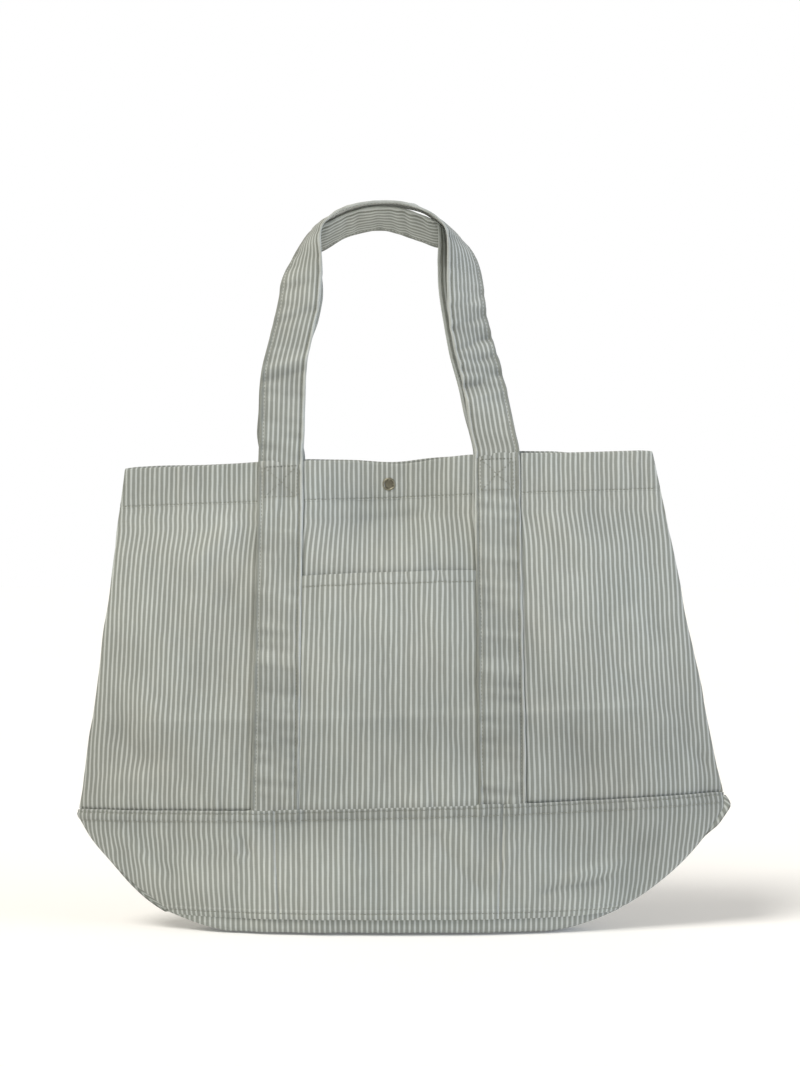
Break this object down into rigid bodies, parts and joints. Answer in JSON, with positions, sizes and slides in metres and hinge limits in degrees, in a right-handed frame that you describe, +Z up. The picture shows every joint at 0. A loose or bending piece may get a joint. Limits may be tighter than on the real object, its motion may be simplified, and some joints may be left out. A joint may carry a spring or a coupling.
{
  "type": "foldable tote bag",
  "caption": "Large striped cotton tote with a boat-shaped base, patch pocket between sewn strap legs, snap-closed mouth and looped shoulder handles.",
  "frame": {"origin": "on the floor, under the middle of the base", "axes": "+Z up towards the handles, the front with the pocket faces -Y, +X to the right seen from the front"},
  "size_m": [0.604, 0.1221, 0.6857],
  "materials": {
    "striped_cotton": "woven cotton with narrow sage and off-white stripes",
    "binding_tape": "plain woven cotton tape",
    "thread": "spun polyester sewing thread",
    "snap_metal": "antique nickel-brass, worn satin"
  },
  "bodies": {
    "base": {"bottom_panel": "striped_cotton", "left_corner_fold": "striped_cotton", "right_corner_fold": "striped_cotton", "left_side_binding": "binding_tape", "right_side_binding": "binding_tape"},
    "front_wall": {"front_panel": "striped_cotton", "front_lower_band": "striped_cotton", "front_top_facing": "striped_cotton", "front_seam_binding": "binding_tape", "front_left_strap_leg": "striped_cotton", "front_right_strap_leg": "striped_cotton", "front_cross_stitch": "thread", "front_pocket": "striped_cotton", "snap_cap": "snap_metal", "snap_socket": "snap_metal"},
    "back_wall": {"back_panel": "striped_cotton", "back_lower_band": "striped_cotton", "back_top_facing": "striped_cotton", "back_seam_binding": "binding_tape", "back_left_strap_leg": "striped_cotton", "back_right_strap_leg": "striped_cotton", "back_cross_stitch": "thread", "snap_stud": "snap_metal", "snap_post": "snap_metal"},
    "front_handle": {"front_handle": "striped_cotton"},
    "back_handle": {"back_handle": "striped_cotton"}
  },
  "joints": [
    {"name": "front_wall_open", "type": "hinge", "parent": "base", "child": "front_wall", "pos_m": [0, -0.045, 0.017], "axis": [1, 0, 0], "range_deg": [0, 12]},
    {"name": "back_wall_open", "type": "hinge", "parent": "base", "child": "back_wall", "pos_m": [0, 0.045, 0.017], "axis": [-1, 0, 0], "range_deg": [0, 12]},
    {"name": "front_handle_fold", "type": "hinge", "parent": "front_wall", "child": "front_handle", "pos_m": [0, -0.0182, 0.44], "axis": [1, 0, 0], "range_deg": [0, 160]},
    {"name": "back_handle_fold", "type": "hinge", "parent": "back_wall", "child": "back_handle", "pos_m": [0, 0.0182, 0.44], "axis": [-1, 0, 0], "range_deg": [0, 160]}
  ]
}
